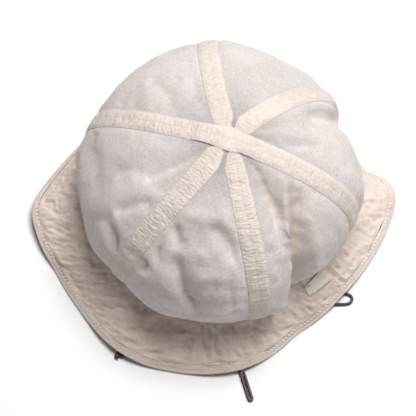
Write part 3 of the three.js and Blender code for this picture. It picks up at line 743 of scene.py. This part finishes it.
def cotton(name, light, dark, pitch, relief, crease=SHADE_TAN, speck=0.5, ribs=0.0):
    """Washed plain-weave cotton, from its tones, its threads' pitch and its relief in metres.

    The light and dark tones mix by blotches and specks. Ribs run across a tape, with u across it.
    """
    material, tree, shader = new_material(name, 0.94)
    shader.inputs["Sheen Weight"].default_value = 0.12

    def combined(operation, first, second, third=0.0):
        settings = {"operation": operation}
        return add_node(tree, "ShaderNodeMath", settings, _0=first, _1=second, _2=third).outputs[0]

    def noise(places, scale, detail, roughness):
        settings = {"Vector": places, "Scale": scale, "Detail": detail, "Roughness": roughness}
        return add_node(tree, "ShaderNodeTexNoise", **settings).outputs["Fac"]

    coordinates = add_node(tree, "ShaderNodeTexCoord")
    places = coordinates.outputs["Object"]
    spread = coordinates.outputs["UV"]
    times = {"operation": "MULTIPLY"}
    stretched = add_node(tree, "ShaderNodeVectorMath", times, _0=spread, _1=RIBS).outputs[0]
    rib = noise(stretched, 1.0, 2.0, 0.5)
    blotch = noise(places, BLOTCHES, 5.0, 0.6)
    blend = combined("MULTIPLY_ADD", noise(places, SPECKS, 3.0, 0.75), speck, blotch)
    blend = combined("MULTIPLY_ADD", rib, ribs, blend)
    blend = combined("DIVIDE", blend, 1 + speck + ribs)
    colour = two_tones(tree, blend, (0.41, dark), (0.57, light))
    # painted shade: the cloth darkens towards a tint where it lies in hollows, and towards a tan in
    # the valley of the long fold and round the crossing of the tapes
    for shade, tint, strength in (("crease", crease, 0.75), ("stain", SHADE_TAN, 1.0)):
        marked = add_node(tree, "ShaderNodeAttribute", {"attribute_name": shade}).outputs["Fac"]
        clamped = {"operation": "MULTIPLY", "use_clamp": True}
        share = add_node(tree, "ShaderNodeMath", clamped, _0=marked, _1=strength).outputs[0]
        entries = {"_0": share, "_6": colour, "_7": (*tint, 1)}
        colour = add_node(tree, "ShaderNodeMix", {"data_type": "RGBA"}, **entries).outputs[2]
    tree.links.new(colour, shader.inputs["Base Color"])
    apart = add_node(tree, "ShaderNodeSeparateXYZ", _0=spread)
    warp, weft = (
        combined("SINE", combined("MULTIPLY", apart.outputs[axis], 2 * math.pi / pitch), 0.0)
        for axis in (0, 1)
    )
    weave = combined("MULTIPLY", warp, weft)
    nap = combined("MULTIPLY_ADD", weave, 0.3, noise(places, NAP, 6.0, 0.7))
    nap = combined("MULTIPLY_ADD", rib, 3 * ribs, nap)
    add_relief(tree, shader, nap, relief)
    return material


CRUMPLE = [(0.0012, 0.023, 11), (0.0006, 0.0095, 12), (0.0002, 0.0036, 13)]
SEAM_PUCKERS = [(0.0005, 0.0042, 14), (0.0006, 0.0083, 15)]
SMALL_FADING = 0.85
SEAM_SPREAD = 0.016  # under a panel's width, so that the puckers are long across the seam
crown_cotton = cotton(
    "washed white cotton",
    light=(0.92, 0.845, 0.82),
    dark=(0.77, 0.69, 0.665),
    crease=(0.62, 0.52, 0.48),
    pitch=0.0009,
    relief=0.0005,
    speck=1.6,
)


def creased(azimuth, along):
    """The crown's face with the small creases and the crumple of washing, and their push."""
    place = crown(azimuth, along)
    plain = plain_crown(azimuth, along)
    share, taped = across_panel(azimuth, along)
    beside = (np.minimum(share, 1 - share) - taped) / taped
    loose = ease(beside)
    near_tape = ease(beside * 3) * np.exp(-np.clip(beside, 0, 9) / 1.1)
    seam_places = np.stack([along * meridian, share * SEAM_SPREAD, azimuth * 0], -1)
    push = loose * (layered(place, CRUMPLE) + fold_push(plain, small_creases, SMALL_FADING))
    push = push + near_tape * layered(seam_places, SEAM_PUCKERS)
    push = push * np.clip((1 - along) / 0.06, 0, 1)
    return place + outward(plain_crown, azimuth, along) * push[..., None], push


for number in range(len(SEAMS)):
    along = np.linspace(1, PANEL_TIP / meridian, PANEL_ROWS)[:, None] * np.ones(PANEL_COLUMNS)
    start, end = panel_sides(number, along)
    gap_turn = np.minimum(turn_for(start, along, GAP / 2), (end - start) * 0.1)
    azimuths = start + gap_turn + (end - start - 2 * gap_turn) * np.linspace(0, 1, PANEL_COLUMNS)
    points, push = creased(azimuths, along)
    panel = cloth_grid(
        f"crown_cloth_{number + 1}",
        points,
        (0.1, meridian),
        # painted shade in the hollows of the crown's creases
        crease=hollows(push, 3, 0.0011),
        # painted shade: a tan down the long fold's valley and round the crossing of the tapes
        stain=fold_push(plain_crown(azimuths, along), tan_stains, 0.5) / CROWN_RISE,
    )
    thicken(panel, CROWN_CLOTH)
    finish(panel, crown_cotton, "crown_cotton", f"crown_panel_{number + 1}")


# A flat cream tape is sewn over every seam of the crown, with a row of stitches along each edge
# and one down the middle. One long tape crosses the top, and the others end in points under it.
TAPE_LAID = 0.00006  # the tape's underside lies this close to the crown
TAPE_EDGE = 0.00016  # the height of its pressed edges
TAPE_FACE = 0.0009  # and of its middle
TAPE_TIP = 0.0016  # the point of a short tape is cut where it is this wide
TAPE_PUCKERS = [(0.0003, 0.0021, 21), (0.0003, 0.0055, 31)]
FURROW_WIDTH = 0.0006  # a furrow is half as deep at the edge rows of stitches as in the middle
FURROW_DEPTH = 0.0003
EDGE_SUNK = 0.0005  # how far the rows of stitches lie below the plain face
MIDDLE_SUNK = 0.0003
COVERED = 0.014  # the long tape covers the others this close to the crossing
COVERED_FALL = 0.008  # and comes down to the crown over this stretch
TAPE_END = 0.002  # from a tape's lower end to the seam with the brim
TAPE_COLUMNS = 22
TAPE_SOLE_COLUMNS = 8
TAPE_ROWS = 300
EDGE_ROW = 0.0013  # from the tape's edge to its stitches
LONG_TAPE = ("left", "front_right")
LONG_TURN = 0.012  # the long tape runs straight this close to the crossing

tape_cotton = cotton(
    "cream cotton tape",
    light=(0.915, 0.822, 0.76),
    dark=(0.765, 0.67, 0.606),
    crease=(0.7, 0.58, 0.49),
    pitch=0.0011,
    relief=0.00045,
    speck=0.9,
    ribs=0.8,
)
thread_cotton = cotton(
    "sewing thread",
    light=(0.97, 0.9, 0.84),
    dark=(0.88, 0.8, 0.72),
    pitch=0.0004,
    relief=0.00015,
)


def on_tape(number, distance, side, lift, bend=0.0):
    """A place some way down a seam and to its side, lifted off the crown, and the way out."""
    along = distance / meridian
    azimuth = seam_azimuth(number, along) + bend * ease(1 - distance / LONG_TURN)
    azimuth = azimuth + np.sign(side) * turn_for(azimuth, along, np.abs(side))
    at = np.minimum(np.hypot(along, side / meridian), 1)
    way = outward(crown, azimuth, at)
    return crown(azimuth, at) + way * lift[..., None], way


def half_width(distance, turn):
    """Half a short tape's width at a distance from the crossing, where it ends in a point."""
    return np.minimum(TAPE_WIDTH / 2, distance * math.tan(min(turn / 2, 1.2)) - GAP)


def crossing_lift(distance, raised):
    """How much higher a tape lies at the crossing, where it covers the ends of the others."""
    return raised * (1 - ease((distance - COVERED) / COVERED_FALL))


def tape_face(number, distance, side):
    """The height of a tape's upper face: pressed edges, puckers, and furrows under its stitches."""
    places = np.stack([distance, side * 0.3, distance * 0 + number], -1)
    beside_row = np.abs(side) - (TAPE_WIDTH / 2 - EDGE_ROW)
    middle, edges = (np.exp(-((apart / FURROW_WIDTH) ** 2)) for apart in (side, beside_row))
    relief = layered(places, TAPE_PUCKERS, number) - FURROW_DEPTH * (middle + 0.5 * edges)
    pressed = ease((TAPE_WIDTH / 2 - np.abs(side)) / 0.003)
    return TAPE_EDGE + (TAPE_FACE - TAPE_EDGE + relief) * pressed


STITCH_LENGTH = 0.0022
STITCH_PITCH = 0.0029
STITCH_WIDTH = 0.00042


def stitches(name, runs, swell=1.0):
    """Rows of stitches as one piece. A run is a line of points and the way out at each."""
    thick = STITCH_WIDTH * swell
    bpy.ops.mesh.primitive_uv_sphere_add(segments=6, ring_count=5, radius=0.5)
    model = bpy.context.object
    corners = np.array([corner.co for corner in model.data.vertices])
    corners = corners * (STITCH_LENGTH, thick, thick * 0.8)
    sides = [tuple(side.vertices) for side in model.data.polygons]
    bpy.data.objects.remove(model)
    points, faces = [], []
    for line, ways in runs:
        gone = np.concatenate([[0], np.cumsum(np.linalg.norm(np.diff(line, axis=0), axis=1))])
        for at in np.arange(STITCH_PITCH * 0.6, gone[-1] - STITCH_LENGTH / 2, STITCH_PITCH):
            place, beyond, way = (
                np.array([np.interp(where, gone, column) for column in rows.T])
                for where, rows in ((at, line), (at + STITCH_WIDTH, line), (at, ways))
            )
            ahead = unit(beyond - place)
            across = unit(np.cross(way, ahead))
            first = len(points)
            points.extend(place + corners @ np.array([ahead, across, np.cross(ahead, across)]))
            faces.extend(tuple(first + corner for corner in side) for side in sides)
    return mesh_piece(name, np.array(points) + SHIFT, faces)


def tape_arm(number, distance, left, right, bend=0.0, raised=0.0):
    """Closed sections of one arm of a tape, from its two half widths, and how sunken they are."""
    over = np.linspace(0, 1, TAPE_COLUMNS)
    under = np.linspace(1, 0, TAPE_SOLE_COLUMNS)
    share = np.concatenate([over, under, over[:1]])
    side = -right[:, None] + (left + right)[:, None] * share
    far = distance[:, None] + side * 0
    # a pointed end has the face of a narrower tape
    widths = np.where(side > 0, left[:, None], right[:, None])
    across = np.sign(side) * (TAPE_WIDTH / 2 - np.clip(widths - np.abs(side), 0, TAPE_WIDTH / 2))
    lift = tape_face(number, far, across)
    # painted shade: the tape darkens where its face is sunken, in the furrows under its stitches
    sunken = hollows(lift[:, :TAPE_COLUMNS], 2, 0.0005)
    lift[:, TAPE_COLUMNS:-1] = TAPE_LAID
    lift += crossing_lift(far, raised)
    sunken = np.hstack([sunken, np.zeros((len(lift), TAPE_SOLE_COLUMNS)), sunken[:, :1]])
    return on_tape(number, far, side, lift, bend)[0], sunken


def stitch_runs(number, distance, half, raised=0.0):
    """The three rows of stitches on one arm of a tape, where it is wide enough for them."""
    runs = []
    for row in (-1, 0, 1):
        kept = half > (2 * EDGE_ROW if row else EDGE_ROW)
        side = row * (half[kept] - EDGE_ROW)
        lift = TAPE_FACE - (EDGE_SUNK if row else MIDDLE_SUNK)
        lift = lift + crossing_lift(distance[kept], raised)
        runs.append(on_tape(number, distance[kept], side, lift))
    return runs


names = [seam[0] for seam in SEAMS]
tape_runs = []
for number, name in enumerate(names):
    if name in LONG_TAPE:
        continue
    turns = []
    for step in (1, -1):
        other = (number + step) % len(SEAMS)
        turns.append(math.radians(((SEAMS[other][1] - SEAMS[number][1]) * step) % 360))
    first = (TAPE_TIP / 2 + GAP) / math.tan(min(turns) / 2)
    distance = np.linspace(meridian - TAPE_END, first, TAPE_ROWS)
    left, right = (half_width(distance, turn) for turn in turns)
    points, sunken = tape_arm(number, distance, left, right)
    tape = cloth_grid(f"tape_{name}", points, (2 * TAPE_WIDTH, meridian), crease=sunken)
    merge_doubles(tape, outwards=True)
    finish(tape, tape_cotton, "tape_cotton", f"seam_tape_{name}")
    tape_runs += stitch_runs(number, distance, np.minimum(left, right))
    # two short rows on the long tape hold the end that runs under it
    over = np.linspace(0.0015, TAPE_WIDTH / 2, 20)
    for aside in (-0.0009, 0.0009):
        tape_runs.append(on_tape(number, over, over * 0 + aside, over * 0 + 2 * TAPE_FACE))

distance = np.linspace(meridian - TAPE_END, 0.0004, TAPE_ROWS)
half_tape = np.full(TAPE_ROWS, TAPE_WIDTH / 2)
climbing, falling = (names.index(name) for name in LONG_TAPE)
bend = (180 - (SEAMS[climbing][1] - SEAMS[falling][1])) / 2
climb, climb_sunken = tape_arm(climbing, distance, half_tape, half_tape, bend, TAPE_FACE)
fall, fall_sunken = tape_arm(falling, distance, half_tape, half_tape, -bend, TAPE_FACE)
# the second arm is turned, so that its sections start at the same edge and run the same way
around_tape = TAPE_COLUMNS + TAPE_SOLE_COLUMNS
turned = (TAPE_COLUMNS - 1 - np.arange(around_tape + 1)) % around_tape
long_tape = cloth_grid(
    "tape_long",
    np.vstack([climb, fall[::-1, turned]]),
    (2 * TAPE_WIDTH, 2 * meridian),
    crease=np.vstack([climb_sunken, fall_sunken[::-1, turned]]),
)
merge_doubles(long_tape, outwards=True)
finish(long_tape, tape_cotton, "tape_cotton", "seam_tape_long")
for number in (climbing, falling):
    tape_runs += stitch_runs(number, distance, half_tape, TAPE_FACE)
finish(stitches("tape_stitches", tape_runs), thread_cotton, "tape_cotton")


# The brim is a sloping ring of two plies of unbleached cotton. Washing has shrunk its stitching
# more than its cloth, so it is crinkled all over, in short wrinkles that mostly run outwards.
BRIM_DEPTH = 0.046
BRIM_CLOTH = 0.0018
SEAM_ALLOWANCE = 0.0026
HEM_WIDTH = 0.006
HEM_CLOTH = 0.0028
HEM_SOLE = 0.0026
BRIM_COLUMNS = 880
BRIM_ROWS = 54
RING = 0.116  # the brim's mean radius
BRIM_GAP = 0.00005  # between the brim's cloth and its hem
HIDDEN_SHARE = 0.9  # of the allowance, inside the crown
LABEL_AZIMUTH = -41.5
# azimuth, overhang, lift
BRIM_EDGE = [
    (-180, 0.95, 0.28),
    (-168, 0.9, 0.16),
    (-156, 0.77, 0),
    (-141, 0.75, 0),
    (-122, 0.85, 0.16),
    (-105, 0.79, 0),
    (-82, 0.72, 0.13),
    (-66, 0.54, 0),
    (-52, 0.57, 0),
    (-36, 0.56, 0.13),
    (-20, 0.63, 0.06),
    (-7, 0.77, 0.14),
    (4, 0.91, 0.25),
    (10, 0.84, 0.2),
    (16, 0.58, 0.12),
    (30, 0.5, 0),
    (60, 0.54, 0),
    (90, 0.56, 0.06),
    (120, 0.54, 0),
    (148, 0.52, 0),
    (160, 0.62, 0.08),
    (170, 0.77, 0.2),
]
# The longer creases of the brim: azimuth, share outwards, to azimuth, to share, and width and
# depth as shares of the brim's depth.
BRIM_CREASES = [
    (-180, 0.9, -180, 0.2, 0.04, -0.028),
    (-165, 0.85, -163, 0.1, 0.04, -0.03),
    (-160, 0.86, -154, 0.36, 0.04, -0.026),
    (-171, 0.56, -167, 0.4, 0.05, -0.025),
    (-150, 0.88, -141, 0.4, 0.04, -0.026),
    (-146, 0.5, -138, 0.75, 0.04, 0.024),
    (-133, 0.8, -129, 0.25, 0.04, -0.024),
    (-128, 0.74, -116, 0.69, 0.04, 0.026),
    (-124, 0.5, -112, 0.44, 0.04, -0.024),
    (-117, 0.85, -106, 0.6, 0.04, 0.024),
    (-108, 0.4, -98, 0.3, 0.04, 0.022),
    (-104, 0.82, -99, 0.5, 0.04, -0.026),
    (-95, 0.3, -92, 0.86, 0.04, -0.034),
    (-89, 0.25, -90, 0.7, 0.04, -0.03),
    (-83, 0.4, -80, 0.85, 0.04, 0.024),
    (-71, 0.35, -70, 0.8, 0.04, -0.026),
    (-58, 0.4, -56, 0.9, 0.04, -0.026),
    (-50, 0.5, -47, 0.9, 0.04, 0.022),
    (-44, 0.62, -41, 0.98, 0.04, -0.03),
    (-28, 0.3, -26, 0.8, 0.04, -0.022),
    (-21, 0.4, -19, 0.85, 0.04, -0.022),
    (-10, 0.3, -12, 0.8, 0.04, 0.02),
    (-5, 0.4, -6, 0.85, 0.04, -0.024),
    (4, 0.25, 3, 0.85, 0.04, -0.024),
    (11, 0.4, 10, 0.9, 0.04, 0.022),
    (163, 0.4, 162, 0.9, 0.04, -0.022),
    (171, 0.3, 172, 0.85, 0.04, -0.024),
]
# depth, size and seed, and for ridges how much shorter they are outwards
BRIM_BUMPS = [(0.0014, 0.0066, 41), (0.0008, 0.0032, 42), (0.0003, 0.0021, 43)]
BRIM_RIDGES = [(0.0012, 0.0048, 47, 1), (0.0011, 0.0052, 48, 2.2)]
brim_overhang = curve_through(BRIM_EDGE, 1, 360)
brim_lift = curve_through(BRIM_EDGE, 2, 360)


def brim(azimuth, share):
    """The brim's upper face: share 0 at the seam, 1 at the edge, below 0 in the allowance."""
    seam = plain_crown(azimuth, np.ones_like(azimuth))
    reach = np.hypot(seam[..., 0], seam[..., 1])
    top = seam[..., 2] - GAP
    edge = SEAM_HEIGHT * np.maximum(brim_lift(azimuth), 0) + HEM_CLOTH
    out = np.maximum(share, 0)
    slope = BRIM_DEPTH * brim_overhang(azimuth) * out
    radius = reach + GAP + slope + SEAM_ALLOWANCE * np.minimum(share, 0)
    height = top + (edge - top) * (out + 0.1 * np.sin(np.pi * out))
    return ring_place(np.radians(azimuth), radius, height)


def brim_normal(azimuth, share):
    around = brim(azimuth + 1, share) - brim(azimuth - 1, share)
    down = brim(azimuth, np.minimum(share + 0.03, 1)) - brim(azimuth, share - 0.03)
    return unit(np.cross(down, around))


def slant(azimuth):
    """From the seam to the brim's edge, along the cloth."""
    ones = np.ones_like(azimuth)
    return np.linalg.norm(brim(azimuth, ones) - brim(azimuth, ones * 0), axis=-1)


def near(azimuth, centre, width):
    """1 at the centre, and 0 well away from it."""
    return np.exp(-((((azimuth - centre + 180) % 360 - 180) / width) ** 2))


def crinkle(azimuth, share):
    """The wrinkles of the washed brim: nets of ridges and a few long creases."""
    out = share * slant(azimuth)
    # the wrinkles slant one way at the front left and the other way at the front right, and
    # are about twice as long outwards as they are wide
    slanted = 0.9 * near(azimuth, -145, 35) - 0.6 * near(azimuth, -60, 25)
    place = ring_place(np.radians(azimuth) + out * slanted / RING, RING, out * 0.55)
    net = layered(place, BRIM_BUMPS)
    for depth, size, seed, drawn in BRIM_RIDGES:
        net = net + depth * (0.5 - np.abs(bumps(place * (1, 1, drawn), size, seed)))
    under_label = 1 - 0.75 * near(azimuth, LABEL_AZIMUTH, 5) * (share < 0.75)
    return (net + fold_push(brim(azimuth, share), long_creases, 0.9)) * under_label


brim_cotton = cotton(
    "crinkled unbleached cotton",
    light=(0.92, 0.79, 0.715),
    dark=(0.79, 0.66, 0.58),
    crease=(0.58, 0.43, 0.33),
    pitch=0.001,
    relief=0.0004,
    speck=0.7,
)
long_creases = fold_lines(BRIM_CREASES, brim, BRIM_DEPTH)
azimuths = np.linspace(180, -180, BRIM_COLUMNS + 1) * np.ones((BRIM_ROWS, 1))
end_share = 1 - (HEM_WIDTH + BRIM_GAP) / slant(azimuths)
row_shares = np.linspace(0, 1, BRIM_ROWS)[:, None] ** 0.5  # the rows lie closer further out
shares = -HIDDEN_SHARE + (end_share + HIDDEN_SHARE) * row_shares
relief = crinkle(azimuths, np.maximum(shares, 0)) * ease((shares - 0.02) / 0.14)
relief = relief * ease((end_share - shares) / 0.08)
points = brim(azimuths, shares) + brim_normal(azimuths, shares) * relief[..., None]
# painted shade in the hollows of the brim's wrinkles
brim_piece = cloth_grid("brim_cloth", points, (0.72, 0.05), crease=hollows(relief, 2, 0.0012))
merge_doubles(brim_piece)
thicken(brim_piece, BRIM_CLOTH)
finish(brim_piece, brim_cotton, "brim_cotton", "brim")


# The hem is the brim's edge turned under and stitched twice. The hat stands on it. It is a
# little thicker than the brim, rounded outside, flat underneath and puckered by its stitches.
HEM_STEPS = 8
STITCH_ROWS = (0.16, 0.42)  # across the hem, from its inner side
HEM_PUCKER = [(0.0005, 0.0037, 51)]
STITCH_PULL = 0.0002
hem_azimuths = np.linspace(-180, 180, BRIM_COLUMNS + 1)
hem_share = 1 - HEM_WIDTH / slant(hem_azimuths)
normal = brim_normal(hem_azimuths, hem_share)
start = brim(hem_azimuths, hem_share)
rim = brim(hem_azimuths, np.ones_like(hem_azimuths))
outwards = ring_place(np.radians(hem_azimuths), 1, hem_azimuths * 0)
up = np.array((0, 0, 1.0))
proud = (HEM_CLOTH - BRIM_CLOTH) / 4
rounding = HEM_CLOTH / 2
upper = start + normal * proud
lower = start - normal * (BRIM_CLOTH + proud)
centre = rim - (outwards + up) * rounding
crest = centre + up * rounding
hem_rows = []
for step in range(HEM_STEPS + 1):
    share = step / HEM_STEPS
    pulled = sum(math.exp(-(((share - row) / 0.07) ** 2)) for row in STITCH_ROWS)
    pucker = layered(outwards * 0.13 + up * 0.0012 * step, HEM_PUCKER) - STITCH_PULL * pulled
    pucker = pucker * ease(share * 6 + 0.3) * ease((1 - share) * 3 + 0.2)
    hem_rows.append(upper + (crest - upper) * share + normal * pucker[:, None])
for step in range(1, HEM_STEPS + 1):
    roll = math.pi * step / HEM_STEPS
    hem_rows.append(centre + rounding * (outwards * math.sin(roll) + up * math.cos(roll)))
hem_rows += [centre - up * rounding - outwards * (HEM_SOLE - rounding), lower, upper]
hem_points = np.array(hem_rows)
hem_points[..., 2] = np.maximum(hem_points[..., 2], 0)
hem = cloth_grid("hem_cloth", hem_points, (0.76, 0.02))
merge_doubles(hem, outwards=True)
finish(hem, brim_cotton, "brim_cotton", "brim_hem")
stitch_lift = normal * 0.00015
hem_runs = [(upper + (crest - upper) * row + stitch_lift, normal) for row in STITCH_ROWS]
finish(stitches("hem_stitches", hem_runs, swell=1.7), thread_cotton, "brim_cotton")


# The label is a small tab of plain cotton, caught in the seam of crown and brim at the front
# right. It lies over the brim with a curled corner, and nothing is printed on it.
LABEL_WIDTH = 0.02
LABEL_DROP = 0.015
LABEL_CLOTH = 0.0008
LABEL_CLEAR = 0.0016  # from the seam
LABEL_LIFT = 0.0011  # off the brim
LABEL_CURL = 0.0016
LABEL_RIPPLE = [(0.0002, 0.004, 61)]
label_cotton = cotton(
    "plain label cotton",
    light=(0.95, 0.86, 0.79),
    dark=(0.88, 0.79, 0.72),
    pitch=0.0006,
    relief=0.00015,
)
reach = np.linalg.norm(brim(np.array(LABEL_AZIMUTH), np.array(0.2))[:2])
half_turn = math.degrees(math.atan2(LABEL_WIDTH / 2, reach))
across, down = np.meshgrid(np.linspace(-1, 1, 36), np.linspace(1, 0, 28))
azimuths = LABEL_AZIMUTH + half_turn * across
shares = (LABEL_CLEAR + LABEL_DROP * down) / slant(azimuths)
ripple = layered(np.stack([across * 0.01, down * 0.015, down * 0], -1), LABEL_RIPPLE)
lift = LABEL_LIFT + LABEL_CLOTH + LABEL_CURL * down**2 * (0.6 + 0.4 * across) + ripple
points = brim(azimuths, shares) + brim_normal(azimuths, shares) * lift[..., None]
label = cloth_grid("label_cloth", points, (LABEL_WIDTH, LABEL_DROP))
thicken(label, LABEL_CLOTH)
finish(label, label_cotton, "label_cotton", "label")

# A brown thread is caught along the label's left edge, dark enough to be also the painted
# shadow of that edge. A thread end shows above it. It runs a few millimetres over the brim, and
# the end lies on the foot of the crown.
thread_and_edge_shadow = new_material("brown thread", 0.8, (0.22, 0.13, 0.06))[0]
# azimuth, share of the brim, height over it
THREAD_ROUTE = [
    (-45.2, 0.31, 0.0036),
    (-46.6, 0.29, 0.0034),
    (-48.2, 0.27, 0.003),
    (-46.5, 0.25, 0.0034),
    (-43, 0.235, 0.0038),
    (-40, 0.225, 0.0042),
    (-37, 0.21, 0.0046),
]
route = np.array(THREAD_ROUTE)
thread_line = brim(route[:, 0], route[:, 1])
thread_line[:, 2] += route[:, 2]
thread_end = crown(np.array([-35.6, -35.2, -34.6]), np.array([0.93, 0.925, 0.925]))
thread_end += outward(plain_crown, np.array(-35.2), np.array(0.925)) * 0.0008
thread = thong("thread", lace_line(thread_line), 0.0006)
loose_end = thong("thread_end", lace_line(thread_end), 0.0011)
finish(join("label_thread", [thread, loose_end]), thread_and_edge_shadow, "label_cotton")


# The room is a plain pale floor, with soft studio light from above, a little to the right
# and behind, and a dim warm sky that fills the shadows.
FLOOR_SIZE = 6
FLOOR_DROP = 0.0001
LIGHT_WAY = Vector((0.2, 0.2, 0.96)).normalized()
LIGHT_DISTANCE = 1.8
LIGHT_SIZE = 1.1
LIGHT_POWER = 38
SKY = (1.0, 0.94, 0.91, 1)
SKY_STRENGTH = 0.1
bpy.ops.mesh.primitive_plane_add(size=FLOOR_SIZE, location=(0, 0, -FLOOR_DROP))
floor = bpy.context.object
floor.name = "floor"
floor.data.materials.append(new_material("white floor", 0.9, (0.96, 0.96, 0.96))[0])
floor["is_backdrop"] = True

bpy.ops.object.light_add(type="AREA", location=LIGHT_WAY * LIGHT_DISTANCE)
key_light = bpy.context.object
key_light.name = "key_light"
key_light.data.shape = "DISK"
key_light.data.size = LIGHT_SIZE
key_light.data.energy = LIGHT_POWER
key_light.rotation_euler = LIGHT_WAY.to_track_quat("Z", "Y").to_euler()
world = bpy.data.worlds.new("studio")
world.use_nodes = True
sky = world.node_tree.nodes["Background"]
sky.inputs["Color"].default_value = SKY
sky.inputs["Strength"].default_value = SKY_STRENGTH
bpy.context.scene.world = world

sizes = {"cad": cad_box, "visual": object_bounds()}
sizes = {name: [list(map(float, corner)) for corner in box] for name, box in sizes.items()}
